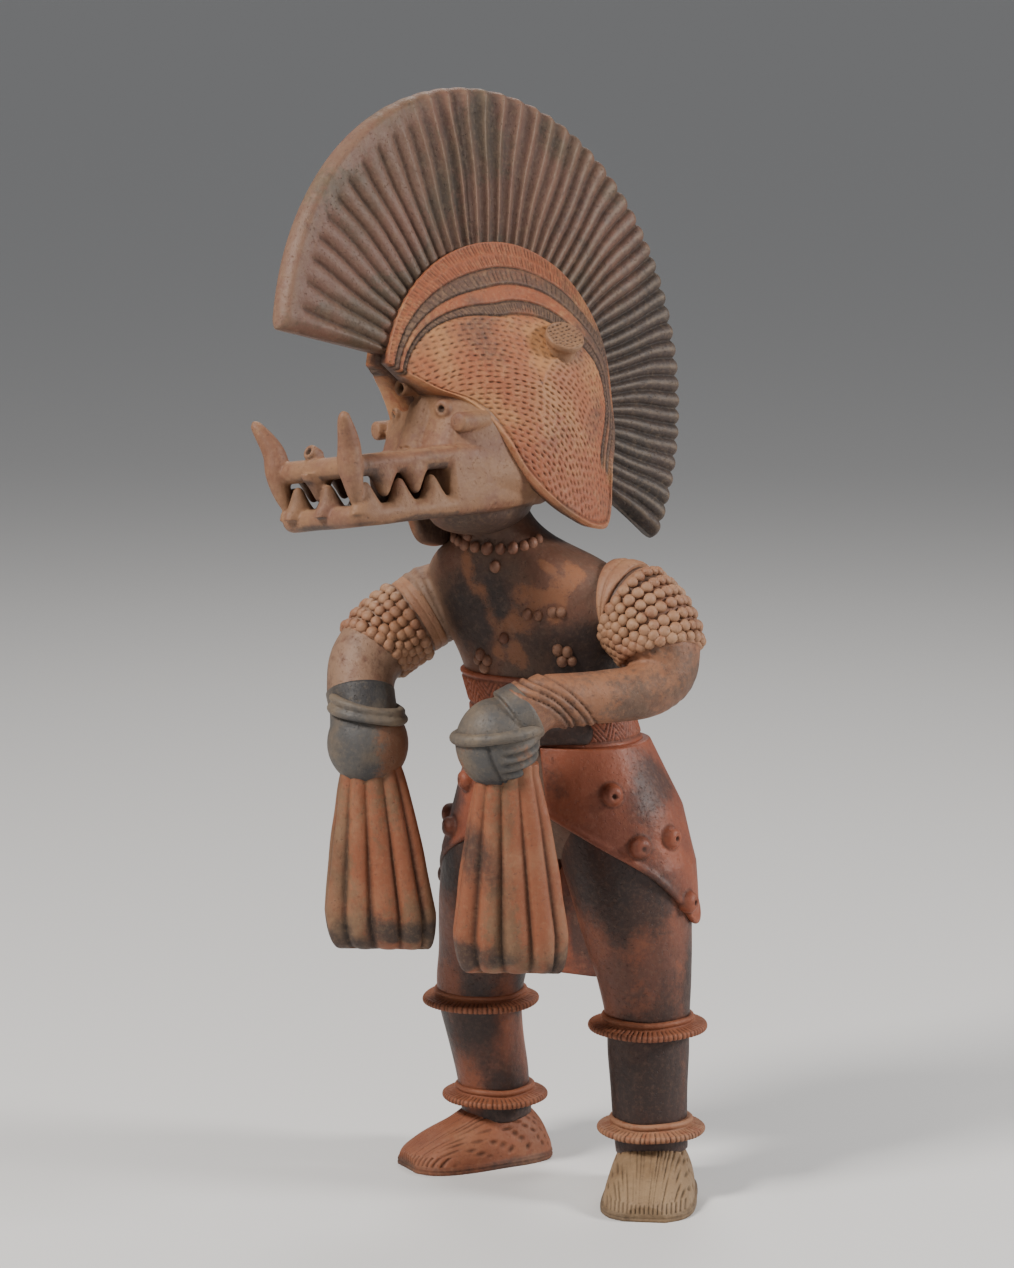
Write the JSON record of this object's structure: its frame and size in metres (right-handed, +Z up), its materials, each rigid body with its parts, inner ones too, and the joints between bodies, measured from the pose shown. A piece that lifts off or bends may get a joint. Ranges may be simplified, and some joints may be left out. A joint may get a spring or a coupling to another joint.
{
  "type": "ceramic sculpture",
  "caption": "Standing fired clay dancer in a crocodile mask and tall fluted fan crest, holding a ribbed pouch in each hand",
  "frame": {"origin": "middle of the bounding box seen from above, on the ground plane under the soles", "axes": "+Z up along the figure's height, the chest faces -Y, the figure's left hand is towards +X"},
  "size_m": [0.2176, 0.2696, 0.6055],
  "materials": {
    "terracotta": "burnished clay slip, worn, with dark fire clouds"
  },
  "bodies": {
    "root": {"figure": "terracotta"}
  },
  "joints": []
}
